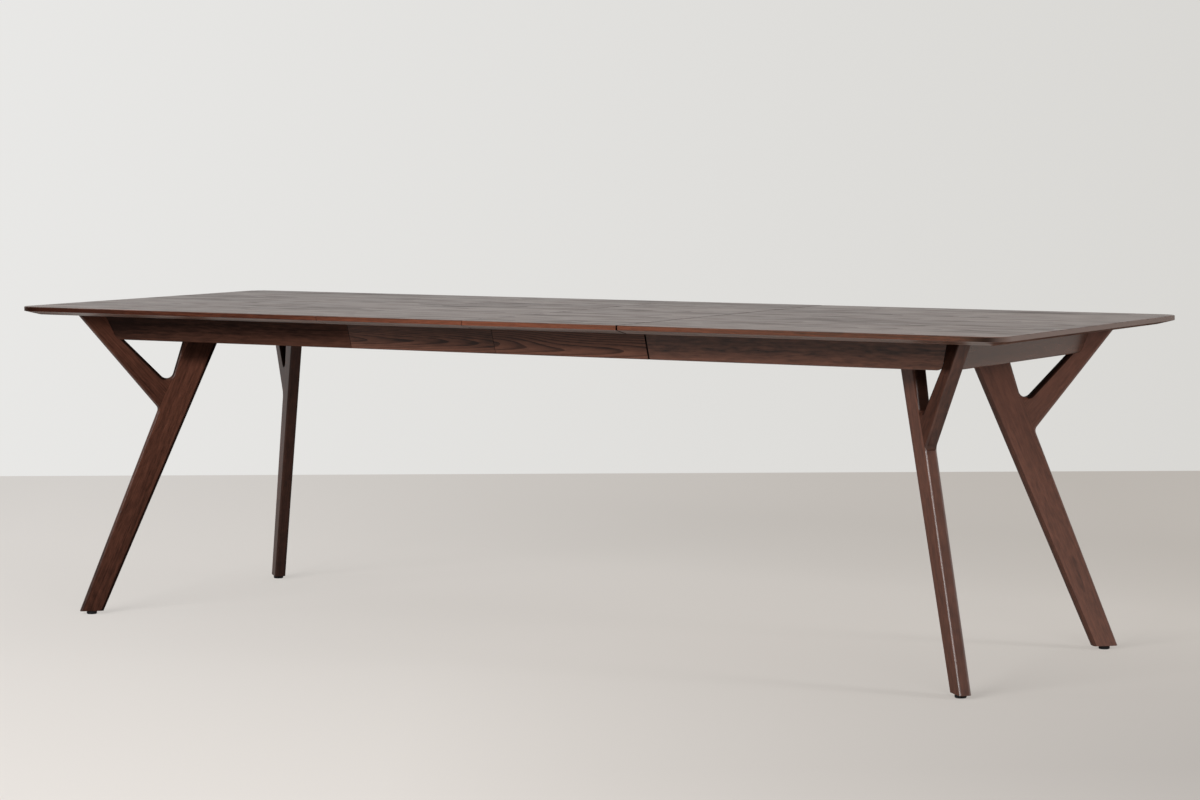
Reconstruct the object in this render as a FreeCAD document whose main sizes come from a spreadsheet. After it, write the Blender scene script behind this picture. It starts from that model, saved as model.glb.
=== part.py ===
import FreeCAD, Part
import math
import operator
import os
import Sketcher
from types import SimpleNamespace
from FreeCAD import Placement, Rotation, Vector

# Extending dining table, drawn out with its two loose leaves in place. Millimetres, +Z up,
# +X along the length. The origin is on the floor under the middle of the top.
doc = FreeCAD.newDocument("extending_table")
sheet = doc.addObject("Spreadsheet::Sheet", "Sizes")

driving_sizes = {
    # Top
    "table_height": 750,
    "top_width": 936,
    "half_length": 900,
    "leaf_length": 398,
    "seam_gap": 1.2,
    "open_gap": 4,
    "top_thickness": 20,
    "bevel_run": 39,
    "bevel_rise": 9.5,
    "corner_radius": 42,
    "top_edge_bevel": 1.2,
    # Aprons and leaf skirts
    "apron_inset": 115,
    "apron_height": 61.5,
    "apron_thickness": 20,
    "apron_tilt": 17.5,
    "apron_end_round": 9,
    "apron_edge_bevel": 2,
    # Legs, each outlined in the upright plane through its corner, turned from the length
    "foot_inset_end": 135,
    "foot_inset_side": 98,
    "leg_turn": 42,
    "leg_thickness": 28,
    "leg_edge_round": 7,
    "foot_width": 56.5,
    "stem_inner_lean": 23.65,
    "stem_outer_lean": 21.8,
    "stem_top_width": 94,
    "knee_height": 499,
    "knee_radius": 14,
    "branch_outer_lean": 39.4,
    "branch_top_width": 48.4,
    "window_branch_lean": 44.4,
    "window_stem_lean": 17.1,
    "window_radius": 17,
    "leg_rail_height": 45,
    # Glides
    "glide_diameter": 25,
    "glide_height": 8,
    "glide_bevel": 1.5,
    "glide_pin_hole": 8,
    "glide_pin_width": 5.4,
    "glide_pin_length": 22,
    # Cross pieces and blocks under the halves
    "bearer_width": 40,
    "bearer_height": 34,
    "batten_offset": 70,
    "batten_width": 40,
    "batten_clearance": 11.5,
    "block_depth": 36,
    "block_height": 42,
    "block_length": 50,
    # Extension slides
    "channel_apron_gap": 1.7,
    "channel_end_gap": 16,
    "channel_width": 34,
    "channel_height": 40,
    "channel_wall": 3,
    "channel_slot": 16,
    "channel_flange": 20,
    "slide_clearance": 0.5,
    "rail_engagement": 200,
    "rail_bar_thickness": 18,
    "rail_height": 41.7,
    "leaf_rest_gap": 0.3,
    "rail_plate_thickness": 9,
    "rail_plate_width": 90,
    # Equaliser
    "gear_module": 3,
    "gear_teeth": 20,
    "pressure_angle": 20,
    "gear_addendum": 2.6,
    "gear_dedendum": 3.4,
    "gear_backlash": 0.4,
    "rack_bar_width": 12,
    "rack_thickness": 10,
    "rack_lift": 0.4,
    "rack_tail": 66,
    "axle_diameter": 10,
    "axle_clearance": 0.3,
    "axle_head_width": 17,
    "axle_head_height": 4,
    # Leaf cleats
    "cleat_thickness": 22,
    "cleat_height": 30,
    "cleat_clearance": 0.6,
    "cleat_end_gap": 30,
    # Seam latches
    "latch_side_gap": 33.4,
    "latch_setback": 22,
    "latch_radius": 45,
    "latch_plate_length": 40,
    "latch_plate_width": 34,
    "latch_plate_thickness": 2,
    "latch_hook_thickness": 4,
    "latch_hook_gap": 1,
    "latch_hub_radius": 12,
    "latch_pivot_diameter": 8,
    "latch_stud_diameter": 8,
    "latch_clearance": 0.5,
    "latch_jaw": 8,
    "latch_tab_length": 34,
    "latch_tab_width": 14,
    "latch_head_width": 13,
    "latch_head_height": 2,
}
for row, (alias, value) in enumerate(driving_sizes.items(), start=1):
    sheet.set(f"A{row}", alias)
    sheet.set(f"B{row}", str(value))
    sheet.setAlias(f"B{row}", alias)
doc.recompute()


class Size:
    """A number together with the sheet formula that gives it."""

    def __init__(self, value, text):
        self.value = value
        self.text = text

    def __add__(self, other):
        return joined(self, "+", other)

    def __sub__(self, other):
        return joined(self, "-", other)

    def __rsub__(self, other):
        return joined(other, "-", self)

    def __mul__(self, other):
        return joined(self, "*", other)

    def __truediv__(self, other):
        return joined(self, "/", other)

    def __neg__(self):
        return joined(0, "-", self)

    __radd__ = __add__
    __rmul__ = __mul__


arithmetic = {"+": operator.add, "-": operator.sub, "*": operator.mul, "/": operator.truediv}


def as_size(number):
    if isinstance(number, Size):
        return number
    return Size(float(number), f"({float(number)})")


def joined(first, sign, second):
    first = as_size(first)
    second = as_size(second)
    value = arithmetic[sign](first.value, second.value)
    return Size(value, f"({first.text} {sign} {second.text})")


def trig(function, angle):
    """The sine, cosine or tangent of an angle in degrees."""
    value = getattr(math, function)(math.radians(angle.value))
    return Size(value, f"{function}({angle.text} * 1 deg)")


def tangent(angle):
    return trig("tan", angle)


def bind(thing, name, size):
    thing.setExpression(name, as_size(size).text)


size = SimpleNamespace(
    **{alias: Size(float(sheet.get(alias)), f"Sizes.{alias}") for alias in driving_sizes}
)
pieces = {}
QUARTER = 90
HALF_TURN = 180
FULL_TURN = 360
HEAD_SIDES = 6
UP = Vector(0, 0, 1)
TOLERANCE = 1e-4

# Places worked out from the driving sizes
underside = size.table_height - size.top_thickness
inner_edge = size.leaf_length + size.seam_gap + size.open_gap / 2
outer_edge = inner_edge + size.half_length
leaf_1_start = size.seam_gap - inner_edge
leaf_2_start = leaf_1_start + size.leaf_length + size.seam_gap
foot_x = outer_edge - size.foot_inset_end
foot_y = size.top_width / 2 - size.foot_inset_side
leg_slope = tangent(size.leg_turn)
leg_face = size.leg_thickness / 2 / trig("sin", size.leg_turn)
leg_start = foot_x - foot_y / leg_slope
apron_y = size.top_width / 2 - size.apron_inset
apron_x = leg_start + apron_y / leg_slope
apron_bottom = underside - size.apron_height
apron_slope = tangent(size.apron_tilt)
apron_low_y = apron_y - size.apron_height * apron_slope
apron_low_x = apron_x - size.apron_height * apron_slope
long_seat = leg_start - leg_face
end_seat = leg_start + leg_face
block_inner_y = apron_y - size.apron_thickness - size.block_depth
block_start = long_seat + block_inner_y / leg_slope - size.block_length
channel_outer_y = apron_low_y - size.apron_thickness - size.channel_apron_gap - size.channel_flange
channel_inner_y = channel_outer_y - size.channel_width
channel_length = block_start - size.channel_end_gap - inner_edge
rail_length = (inner_edge + size.rail_engagement) * 2
rail_top = underside - size.leaf_rest_gap
rail_bottom = rail_top - size.rail_height
rack_bottom = rail_bottom + size.rack_lift
batten_bottom = rack_bottom + size.rack_thickness
bar_outer_y = channel_inner_y - size.slide_clearance
bar_inner_y = bar_outer_y - size.rail_bar_thickness


def origin_plane(body, role):
    return next(plane for plane in body.Origin.OriginFeatures if plane.Role == role)


def attach(sketch, body, role, offset):
    sketch.AttachmentSupport = [(origin_plane(body, role), "")]
    sketch.MapMode = "FlatFace"
    bind(sketch, "AttachmentOffset.Base.z", offset)


def place_point(sketch, line, point):
    """Fix the start of one line at a point given from the sketch origin."""
    for kind, coordinate in zip(("DistanceX", "DistanceY"), point):
        coordinate = as_size(coordinate)
        number = sketch.addConstraint(
            Sketcher.Constraint(kind, -1, 1, line, 1, coordinate.value)
        )
        bind(sketch, f"Constraints[{number}]", coordinate)


def outline(body, name, role, points, offset=0):
    """Sketch a closed outline of straight lines on one of the body's own planes."""
    sketch = body.newObject("Sketcher::SketchObject", name)
    attach(sketch, body, role, offset)
    flat = [Vector(as_size(across).value, as_size(along).value, 0) for across, along in points]
    count = len(flat)
    for line in range(count):
        sketch.addGeometry(Part.LineSegment(flat[line], flat[(line + 1) % count]), False)
    for line in range(count):
        sketch.addConstraint(Sketcher.Constraint("Coincident", line, 2, (line + 1) % count, 1))
    for line, point in enumerate(points):
        place_point(sketch, line, point)
    return sketch


def boxed_outline(low_x, high_x, low_y, high_y):
    return [(low_x, low_y), (high_x, low_y), (high_x, high_y), (low_x, high_y)]


def circle(body, name, role, centre, radius, offset=0):
    """Sketch one circle on one of the body's own planes."""
    sketch = body.newObject("Sketcher::SketchObject", name)
    attach(sketch, body, role, offset)
    across, along = (as_size(coordinate) for coordinate in centre)
    middle = Vector(across.value, along.value, 0)
    sketch.addGeometry(Part.Circle(middle, Vector(0, 0, 1), radius.value), False)
    for kind, coordinate in (("DistanceX", across), ("DistanceY", along)):
        number = sketch.addConstraint(Sketcher.Constraint(kind, -1, 1, 0, 3, coordinate.value))
        bind(sketch, f"Constraints[{number}]", coordinate)
    number = sketch.addConstraint(Sketcher.Constraint("Radius", 0, radius.value))
    bind(sketch, f"Constraints[{number}]", radius)
    return sketch


def new_body(label):
    body = doc.addObject("PartDesign::Body", label)
    body.Label = label
    pieces[label] = body
    return body


def pad(body, name, sketch, length, symmetric=False):
    feature = body.newObject("PartDesign::Pad", name)
    feature.Profile = sketch
    feature.SideType = "Symmetric" if symmetric else "One side"
    bind(feature, "Length", length)
    return feature


def cut_through(body, name, sketch):
    """Cut a sketch through everything on both sides of its plane."""
    doc.recompute()
    before = body.Shape.Volume
    feature = body.newObject("PartDesign::Pocket", name)
    feature.Profile = sketch
    feature.Type = "ThroughAll"
    feature.SideType = "Symmetric"
    doc.recompute()
    if body.Shape.Volume >= before:
        raise RuntimeError(f"{body.Label}: {name} cuts nothing")


def edges_where(shape, test):
    return [f"Edge{number}" for number, edge in enumerate(shape.Edges, start=1) if test(edge)]


def ends(edge):
    """The first, middle and last points of an edge."""
    first, last = edge.ParameterRange
    return [edge.valueAt(first), edge.valueAt((first + last) / 2), edge.valueAt(last)]


def lies_at(edge, axis, value):
    return all(abs(getattr(point, axis) - value) < TOLERANCE for point in ends(edge))


def runs_along(edge, direction):
    """Whether a straight edge is parallel to a direction."""
    return edge.tangentAt(edge.FirstParameter).cross(direction).Length < TOLERANCE


def round_edges(body, name, radius, test):
    """Fillet the edges of the body that pass the test."""
    doc.recompute()
    chosen = edges_where(body.Shape, test)
    if not chosen:
        raise RuntimeError(f"{body.Label}: {name} finds no edge")
    base = body.Tip
    feature = body.newObject("PartDesign::Fillet", name)
    feature.Base = (base, chosen)
    bind(feature, "Radius", radius)
    doc.recompute()


def bevel_edges(body, name, width, test):
    """Chamfer the edges of the body that pass the test."""
    doc.recompute()
    chosen = edges_where(body.Shape, test)
    if not chosen:
        raise RuntimeError(f"{body.Label}: {name} finds no edge")
    base = body.Tip
    feature = body.newObject("PartDesign::Chamfer", name)
    feature.Base = (base, chosen)
    bind(feature, "Size", width)
    doc.recompute()
    return feature


def undercut(body, name, test):
    """Bevel the lower outer edge: long across the underside, short up the side."""
    feature = bevel_edges(body, name, size.bevel_rise, test)
    feature.ChamferType = "Two distances"
    bind(feature, "Size2", size.bevel_run)
    doc.recompute()
    lower = min(body.Shape.Faces, key=lambda face: face.CenterOfMass.z)
    reach = lower.BoundBox.YMax
    if abs(reach - (size.top_width.value / 2 - size.bevel_run.value)) > TOLERANCE:
        feature.FlipDirection = True
        doc.recompute()


def halves():
    """Each half with its name, half turn and the names of its local sides."""
    return (("right", 0, ("back", "front")), ("left", HALF_TURN, ("front", "back")))


def turned(piece, angle):
    piece.Placement = Placement(Vector(0, 0, 0), Rotation(UP, angle))


# Top halves and leaves


def panel(label, start, length):
    body = new_body(label)
    half_width = size.top_width / 2
    corners = [
        (start, -half_width),
        (start + length, -half_width),
        (start + length, half_width),
        (start, half_width),
    ]
    pad(body, label + "_slab", outline(body, label + "_plan", "XY_Plane", corners, underside),
        size.top_thickness)
    return body


def on_rim(edge, level, seams):
    return lies_at(edge, "z", level) and not any(lies_at(edge, "x", seam) for seam in seams)


def finish_rim(body, label, seams):
    """Undercut the lower rim and ease the upper one, leaving the seams square."""
    low = underside.value
    high = size.table_height.value
    undercut(body, label + "_bevel", lambda edge: on_rim(edge, low, seams))
    bevel_edges(body, label + "_eased", size.top_edge_bevel, lambda edge: on_rim(edge, high, seams))


for half, angle, sides in halves():
    label = f"top_{half}"
    body = panel(label, inner_edge, size.half_length)
    far = outer_edge.value
    round_edges(body, label + "_corners", size.corner_radius,
                lambda edge: lies_at(edge, "x", far) and runs_along(edge, UP))
    finish_rim(body, label, [inner_edge.value])
    turned(body, angle)

leaf_starts = {"leaf_1": leaf_1_start, "leaf_2": leaf_2_start}
for leaf, start in leaf_starts.items():
    body = panel(f"{leaf}_panel", start, size.leaf_length)
    finish_rim(body, leaf, [start.value, (start + size.leaf_length).value])


# Aprons, leaf skirts and the blocks behind them. A board leans outwards as it rises.


def board_profile(face, depth, top, bottom, side):
    """Section of a leaning board whose outer face is at the given place under the top."""
    low = face - (underside - bottom) * apron_slope
    high = face - (underside - top) * apron_slope
    section = [(high, top), (low, bottom), (low - depth, bottom), (high - depth, top)]
    return [(across * side, level) for across, level in section]


def mitre(body, name, side, seat, reach):
    """Cut the end of a long board along the flat face of its leg."""
    tip = seat + reach
    rise = reach * leg_slope * side
    region = [(seat - reach, -rise), (tip, rise), (tip, -rise)]
    cut_through(body, name, outline(body, name + "_plan", "XY_Plane", region))


def ease_lower_edge(body, name, bottom, place):
    bevel_edges(body, name, size.apron_edge_bevel,
                lambda edge: lies_at(edge, "z", bottom.value) and place(edge))


for half, angle, sides in halves():
    for side, side_name in zip((1, -1), sides):
        label = f"long_apron_{half}_{side_name}"
        body = new_body(label)
        section = board_profile(apron_y, size.apron_thickness, underside, apron_bottom, side)
        pad(body, label + "_board", outline(body, label + "_section", "YZ_Plane", section, inner_edge),
            size.half_length)
        mitre(body, label + "_mitre", side, long_seat, size.top_width)
        round_edges(body, label + "_end", size.apron_end_round,
                    lambda edge: lies_at(edge, "z", apron_bottom.value)
                    and runs_along(edge, Vector(1, leg_slope.value * side, 0)))
        ease_lower_edge(body, label + "_eased", apron_bottom,
                        lambda edge: lies_at(edge, "y", apron_low_y.value * side))
        turned(body, angle)

        label = f"corner_block_{half}_{side_name}"
        body = new_body(label)
        face = apron_y - size.apron_thickness
        section = board_profile(face, size.block_depth, underside, underside - size.block_height, side)
        pad(body, label + "_board", outline(body, label + "_section", "YZ_Plane", section, block_start),
            size.block_length + size.block_depth + size.apron_thickness)
        mitre(body, label + "_mitre", side, long_seat, size.top_width)
        turned(body, angle)

for leaf, start in leaf_starts.items():
    for side, side_name in ((1, "back"), (-1, "front")):
        label = f"{leaf}_skirt_{side_name}"
        body = new_body(label)
        section = board_profile(apron_y, size.apron_thickness, underside, apron_bottom, side)
        pad(body, label + "_board", outline(body, label + "_section", "YZ_Plane", section, start),
            size.leaf_length)
        ease_lower_edge(body, label + "_eased", apron_bottom,
                        lambda edge: lies_at(edge, "y", apron_low_y.value * side))


def end_board(body, label, face, depth, bottom):
    """A leaning board across the end, cut along the flat faces of both legs."""
    section = board_profile(face, depth, underside, bottom, 1)
    pad(body, label + "_board", outline(body, label + "_section", "XZ_Plane", section),
        size.top_width, symmetric=True)
    far = size.top_width
    for side, side_name in ((1, "back"), (-1, "front")):
        rise = far * leg_slope * side
        region = [(end_seat - far, -rise), (end_seat + far, rise), (end_seat - far, rise)]
        cut_through(body, f"{label}_mitre_{side_name}",
                    outline(body, f"{label}_plan_{side_name}", "XY_Plane", region))


leg_slopes = (leg_slope.value, -leg_slope.value)
for half, angle, sides in halves():
    label = f"end_apron_{half}"
    body = new_body(label)
    end_board(body, label, apron_x, size.apron_thickness, apron_bottom)
    round_edges(body, label + "_ends", size.apron_end_round,
                lambda edge: lies_at(edge, "z", apron_bottom.value)
                and any(runs_along(edge, Vector(1, slope, 0)) for slope in leg_slopes))
    ease_lower_edge(body, label + "_eased", apron_bottom,
                    lambda edge: lies_at(edge, "x", apron_low_x.value))
    turned(body, angle)

    label = f"end_blocks_{half}"
    body = new_body(label)
    face = apron_x - size.apron_thickness
    end_board(body, label, face, size.block_depth, underside - size.block_height)
    middle = block_inner_y - size.block_length
    gap = [
        (face - size.top_width, -middle),
        (face + size.top_width, -middle),
        (face + size.top_width, middle),
        (face - size.top_width, middle),
    ]
    cut_through(body, label + "_gap", outline(body, label + "_gap_plan", "XY_Plane", gap))
    turned(body, angle)


# Legs: a Y outlined in the corner's diagonal plane, with distance outwards from the glide and
# height above the floor. A rail behind the aprons joins branch and stem above the window.

foot_inner = -size.foot_width / 2
foot_outer = size.foot_width / 2
knee = foot_outer - (size.knee_height - size.glide_height) * tangent(size.stem_outer_lean)
branch_tip = knee + (underside - size.knee_height) * tangent(size.branch_outer_lean)
stem_tip = foot_inner - (underside - size.glide_height) * tangent(size.stem_inner_lean)
branch_root = branch_tip - size.branch_top_width
stem_root = stem_tip + size.stem_top_width
window_slopes = tangent(size.window_branch_lean) + tangent(size.window_stem_lean)
crotch_drop = (branch_root - stem_root) / window_slopes
crotch_height = underside - crotch_drop
crotch = branch_root - crotch_drop * tangent(size.window_branch_lean)
rail_level = underside - size.leg_rail_height
window_outer = branch_root - size.leg_rail_height * tangent(size.window_branch_lean)
window_inner = stem_root + size.leg_rail_height * tangent(size.window_stem_lean)
leg_outline = [
    (foot_inner, size.glide_height),
    (foot_outer, size.glide_height),
    (knee, size.knee_height),
    (branch_tip, underside),
    (stem_tip, underside),
]
window_outline = [(crotch, crotch_height), (window_outer, rail_level), (window_inner, rail_level)]


def across_at(edge, distance, height):
    """Whether an edge runs through the thickness at a point of the outline."""
    return lies_at(edge, "x", distance.value) and lies_at(edge, "z", height.value)


def long_leg_edge(edge):
    on_face = lies_at(edge, "y", size.leg_thickness.value / 2) or lies_at(
        edge, "y", -size.leg_thickness.value / 2)
    square_levels = (underside, rail_level, size.glide_height)
    return on_face and not any(lies_at(edge, "z", level.value) for level in square_levels)


def make_leg(label):
    body = new_body(label)
    pad(body, label + "_plate", outline(body, label + "_outline", "XZ_Plane", leg_outline),
        size.leg_thickness, symmetric=True)
    cut_through(body, label + "_window", outline(body, label + "_opening", "XZ_Plane", window_outline))
    round_edges(body, label + "_knee", size.knee_radius,
                lambda edge: across_at(edge, knee, size.knee_height))
    round_edges(body, label + "_crotch", size.window_radius,
                lambda edge: across_at(edge, crotch, crotch_height))
    round_edges(body, label + "_eased", size.leg_edge_round, long_leg_edge)
    hole = body.newObject("PartDesign::Pocket", label + "_pin_hole")
    hole.Profile = circle(body, label + "_pin_circle", "XY_Plane", (0, 0), size.glide_pin_hole / 2)
    bind(hole, "Length", size.glide_height + size.glide_pin_length)
    hole.Reversed = True
    return body


def make_glide(label):
    """A moulded disc with a square pin that is pushed into the foot."""
    body = new_body(label)
    pad(body, label + "_disc", circle(body, label + "_rim", "XY_Plane", (0, 0), size.glide_diameter / 2),
        size.glide_height)
    half = size.glide_pin_width / 2
    pad(body, label + "_pin",
        outline(body, label + "_pin_plan", "XY_Plane", boxed_outline(-half, half, -half, half)),
        size.glide_height + size.glide_pin_length)
    bevel_edges(body, label + "_eased", size.glide_bevel,
                lambda edge: lies_at(edge, "z", 0) and edge.Length > size.glide_diameter.value)
    return body


for half, angle, sides in halves():
    outward = 1 if half == "right" else -1
    for side, side_name in ((1, "back"), (-1, "front")):
        turn = math.degrees(math.atan2(leg_slope.value * side, outward))
        for make, name in ((make_leg, "leg"), (make_glide, "glide")):
            body = make(f"{name}_{half}_{side_name}")
            turned(body, turn)
            bind(body, "Placement.Base.x", foot_x * outward)
            bind(body, "Placement.Base.y", foot_y * side)


# Cross pieces under the halves: a bearer between the two legs and a batten near the seam

bearer_middle = foot_x + (stem_tip + stem_root) / 2 * trig("cos", size.leg_turn)
for half, angle, sides in halves():
    label = f"leg_bearer_{half}"
    body = new_body(label)
    near = bearer_middle - size.bearer_width / 2
    far = bearer_middle + size.bearer_width / 2
    near_y = (near - end_seat) * leg_slope
    far_y = (far - end_seat) * leg_slope
    plan = [(near, -near_y), (far, -far_y), (far, far_y), (near, near_y)]
    pad(body, label + "_bar",
        outline(body, label + "_plan", "XY_Plane", plan, underside - size.bearer_height),
        size.bearer_height)
    turned(body, angle)

    label = f"seam_batten_{half}"
    body = new_body(label)
    near = inner_edge + size.batten_offset
    far = near + size.batten_width
    reach = bar_inner_y - size.batten_clearance
    plan = [(near, -reach), (far, -reach), (far, reach), (near, reach)]
    pad(body, label + "_bar", outline(body, label + "_plan", "XY_Plane", plan, batten_bottom),
        underside - batten_bottom)
    turned(body, angle)


# Extension slides: steel channels under the halves, hardwood rails with a T tongue between them

channel_bottom = underside - size.channel_height
slot_middle = underside - size.channel_height / 2
slot_low = slot_middle - size.channel_slot / 2
slot_high = slot_middle + size.channel_slot / 2
cavity_inner_y = channel_inner_y + size.channel_wall
cavity_outer_y = channel_outer_y - size.channel_wall
cavity_low = channel_bottom + size.channel_wall
cavity_high = underside - size.channel_wall
channel_section = [
    (channel_inner_y, channel_bottom),
    (channel_outer_y, channel_bottom),
    (channel_outer_y, cavity_high),
    (channel_outer_y + size.channel_flange, cavity_high),
    (channel_outer_y + size.channel_flange, underside),
    (channel_inner_y, underside),
    (channel_inner_y, slot_high),
    (cavity_inner_y, slot_high),
    (cavity_inner_y, cavity_high),
    (cavity_outer_y, cavity_high),
    (cavity_outer_y, cavity_low),
    (cavity_inner_y, cavity_low),
    (cavity_inner_y, slot_low),
    (channel_inner_y, slot_low),
]
tongue_inner_y = cavity_inner_y + size.slide_clearance
tongue_outer_y = cavity_outer_y - size.slide_clearance
rail_section = [
    (bar_inner_y, rail_bottom),
    (bar_outer_y, rail_bottom),
    (bar_outer_y, slot_low + size.slide_clearance),
    (tongue_inner_y, slot_low + size.slide_clearance),
    (tongue_inner_y, cavity_low + size.slide_clearance),
    (tongue_outer_y, cavity_low + size.slide_clearance),
    (tongue_outer_y, cavity_high - size.slide_clearance),
    (tongue_inner_y, cavity_high - size.slide_clearance),
    (tongue_inner_y, slot_high - size.slide_clearance),
    (bar_outer_y, slot_high - size.slide_clearance),
    (bar_outer_y, rail_top),
    (bar_inner_y, rail_top),
]


def lengthwise(label, section, side, start, length):
    """Carry a section along the table on one side of it."""
    body = new_body(label)
    mirrored = [(across * side, level) for across, level in section]
    pad(body, label + "_run", outline(body, label + "_section", "YZ_Plane", mirrored, start), length)
    return body


for side, side_name in ((1, "back"), (-1, "front")):
    lengthwise(f"channel_right_{side_name}", channel_section, side, inner_edge, channel_length)
    lengthwise(f"channel_left_{side_name}", channel_section, side, -inner_edge - channel_length,
               channel_length)
    lengthwise(f"rail_{side_name}", rail_section, side, -rail_length / 2, rail_length)


plate_bottom = rail_bottom - size.rail_plate_thickness
axle_hole = size.axle_diameter / 2 + size.axle_clearance
body = new_body("rail_plate")
half_plate = size.rail_plate_width / 2
pad(body, "rail_plate_slab",
    outline(body, "rail_plate_plan", "XY_Plane",
            boxed_outline(-half_plate, half_plate, -bar_outer_y, bar_outer_y), plate_bottom),
    size.rail_plate_thickness)
cut_through(body, "rail_plate_hole", circle(body, "rail_plate_circle", "XY_Plane", (0, 0), axle_hole))


# Equaliser: one rack on each half, and between them a pinion that the rail plate carries

pitch_radius = size.gear_module * size.gear_teeth / 2
tooth_pitch = size.gear_module * math.pi
half_tooth = tooth_pitch / 4 - size.gear_backlash / 2
flank = tangent(size.pressure_angle)
rack_root = -(pitch_radius + size.gear_dedendum)
rack_tip = -(pitch_radius - size.gear_addendum)
rack_end = inner_edge + size.batten_offset + size.batten_width
toothed_length = inner_edge + size.rack_tail
rack_teeth = int(toothed_length.value / tooth_pitch.value) - 1
first_tooth = tooth_pitch / 2 - tooth_pitch * int(size.rack_tail.value / tooth_pitch.value)


def make_rack(label):
    body = new_body(label)
    plan = boxed_outline(-size.rack_tail, rack_end, rack_root - size.rack_bar_width, rack_root)
    pad(body, label + "_bar", outline(body, label + "_plan", "XY_Plane", plan, rack_bottom),
        size.rack_thickness)
    root_half = half_tooth + size.gear_dedendum * flank
    tip_half = half_tooth - size.gear_addendum * flank
    tooth = [
        (first_tooth - root_half, rack_root),
        (first_tooth + root_half, rack_root),
        (first_tooth + tip_half, rack_tip),
        (first_tooth - tip_half, rack_tip),
    ]
    first = pad(body, label + "_tooth",
                outline(body, label + "_tooth_plan", "XY_Plane", tooth, rack_bottom), size.rack_thickness)
    doc.recompute()
    row = body.newObject("PartDesign::LinearPattern", label + "_teeth")
    row.Originals = [first]
    row.Direction = (origin_plane(body, "X_Axis"), [""])
    row.Occurrences = rack_teeth
    bind(row, "Length", tooth_pitch * (rack_teeth - 1))
    body.Tip = row
    return body


for half, angle, sides in halves():
    turned(make_rack(f"rack_{half}"), angle)


def involute(angle):
    return math.tan(angle) - angle


def tooth_half_at(radius):
    """Half the width of a pinion tooth at a radius outside its base circle."""
    base = pitch_radius.value * math.cos(math.radians(size.pressure_angle.value))
    turn = half_tooth.value / pitch_radius.value + involute(math.radians(size.pressure_angle.value))
    return radius * (turn - involute(math.acos(min(1, base / radius))))


body = new_body("pinion")
root_radius = pitch_radius - size.gear_dedendum
tip_radius = pitch_radius + size.gear_addendum
base_radius = pitch_radius * math.cos(math.radians(size.pressure_angle.value))
pad(body, "pinion_disc", circle(body, "pinion_root", "XY_Plane", (0, 0), root_radius, rack_bottom),
    size.rack_thickness)
base_half = tooth_half_at(base_radius.value)
tip_half = tooth_half_at(tip_radius.value)
tooth = [
    (root_radius - size.gear_module, -base_half),
    (base_radius, -base_half),
    (tip_radius, -tip_half),
    (tip_radius, tip_half),
    (base_radius, base_half),
    (root_radius - size.gear_module, base_half),
]
first = pad(body, "pinion_tooth", outline(body, "pinion_tooth_plan", "XY_Plane", tooth, rack_bottom),
            size.rack_thickness)
doc.recompute()
ring = body.newObject("PartDesign::PolarPattern", "pinion_teeth")
ring.Originals = [first]
ring.Axis = (origin_plane(body, "Z_Axis"), [""])
ring.Angle = FULL_TURN
bind(ring, "Occurrences", size.gear_teeth)
body.Tip = ring
cut_through(body, "pinion_bore", circle(body, "pinion_bore_circle", "XY_Plane", (0, 0), axle_hole))


def hexagon(width):
    """Corners of a six-sided head, given its width across the flats."""
    corner = width / math.sqrt(3)
    turns = [math.radians(FULL_TURN * step / HEAD_SIDES) for step in range(HEAD_SIDES)]
    return [(corner * math.cos(turn), corner * math.sin(turn)) for turn in turns]


body = new_body("pinion_axle")
axle_top = batten_bottom + size.axle_clearance
pad(body, "axle_shank",
    circle(body, "axle_shank_rim", "XY_Plane", (0, 0), size.axle_diameter / 2,
           plate_bottom - size.axle_head_height),
    axle_top - plate_bottom + size.axle_head_height * 2)
for name, level in (("axle_head", axle_top), ("axle_nut", plate_bottom - size.axle_head_height)):
    pad(body, name, outline(body, name + "_rim", "XY_Plane", hexagon(size.axle_head_width), level),
        size.axle_head_height)


# Cleats under each leaf, close beside the rails


def cylinder(name, centre, radius, bottom, height, start=0, sweep=FULL_TURN):
    solid = doc.addObject("Part::Cylinder", name)
    bind(solid, "Radius", radius)
    bind(solid, "Height", height)
    solid.Angle = sweep
    solid.Placement = Placement(Vector(0, 0, 0), Rotation(UP, start))
    for axis, place in zip("xyz", (*centre, bottom)):
        bind(solid, f"Placement.Base.{axis}", place)
    return solid


def hexagon_head(name, centre, width, bottom, height):
    solid = doc.addObject("Part::Prism", name)
    solid.Polygon = HEAD_SIDES
    bind(solid, "Circumradius", width / math.sqrt(3))
    bind(solid, "Height", height)
    for axis, place in zip("xyz", (*centre, bottom)):
        bind(solid, f"Placement.Base.{axis}", place)
    return solid


def box(name, corner, lengths):
    solid = doc.addObject("Part::Box", name)
    for property_name, length in zip(("Length", "Width", "Height"), lengths):
        bind(solid, property_name, length)
    for axis, place in zip("xyz", corner):
        bind(solid, f"Placement.Base.{axis}", place)
    return solid


def fused(name, solids):
    result = doc.addObject("Part::MultiFuse", name)
    result.Shapes = solids
    result.Refine = True
    return result


def cut(name, base, tool):
    result = doc.addObject("Part::Cut", name)
    result.Base = base
    result.Tool = tool
    result.Refine = True
    return result


def group(label, solids):
    """One node that holds several separate solids of the same kind."""
    result = doc.addObject("Part::Compound", label)
    result.Label = label
    result.Links = solids
    pieces[label] = result


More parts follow.
